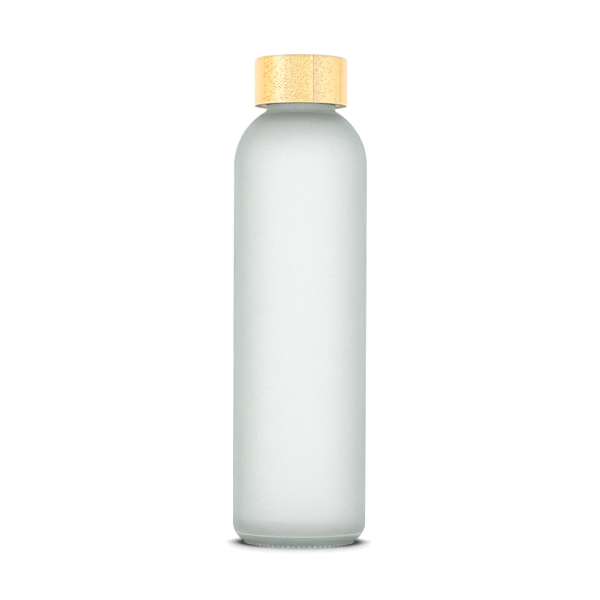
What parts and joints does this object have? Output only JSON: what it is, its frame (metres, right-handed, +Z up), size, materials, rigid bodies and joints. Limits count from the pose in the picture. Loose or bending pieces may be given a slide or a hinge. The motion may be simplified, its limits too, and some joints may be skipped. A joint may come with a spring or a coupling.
{
  "type": "glass water bottle",
  "caption": "Frosted glass water bottle with a rounded shoulder and a flat-topped screw lid of laminated bamboo.",
  "frame": {"origin": "centre of the foot, on the surface the bottle stands on", "axes": "+Z up along the bottle's axis, -Y towards the front, with the lid's glue lines running from front to back"},
  "size_m": [0.065, 0.065, 0.2365],
  "materials": {
    "frosted_glass": "satin frosted body and neck, clear glossy screw finish",
    "silicone": "translucent matte silicone",
    "white_plastic": "moulded white polypropylene",
    "bamboo": "oiled satin laminated bamboo"
  },
  "bodies": {
    "bottle": {"glass_bottle": "frosted_glass"},
    "seal": {"sealing_ring": "silicone"},
    "lid": {"cap_liner": "white_plastic", "bamboo_slat_1": "bamboo", "bamboo_slat_2": "bamboo", "bamboo_slat_3": "bamboo", "bamboo_slat_4": "bamboo", "bamboo_slat_5": "bamboo"}
  },
  "joints": [
    {"name": "lid_rise", "type": "slide", "parent": "bottle", "child": "seal", "axis": [0, 0, 1], "range_m": [0, 0.0254]},
    {"name": "lid_turn", "type": "hinge", "parent": "seal", "child": "lid", "pos_m": [0, 0, 0.2132], "axis": [0, 0, 1], "range_deg": [0, 2160]}
  ],
  "couplings": [
    {"joint": "lid_rise", "follows": "lid_turn", "m_per_rad": 0.00067375}
  ]
}
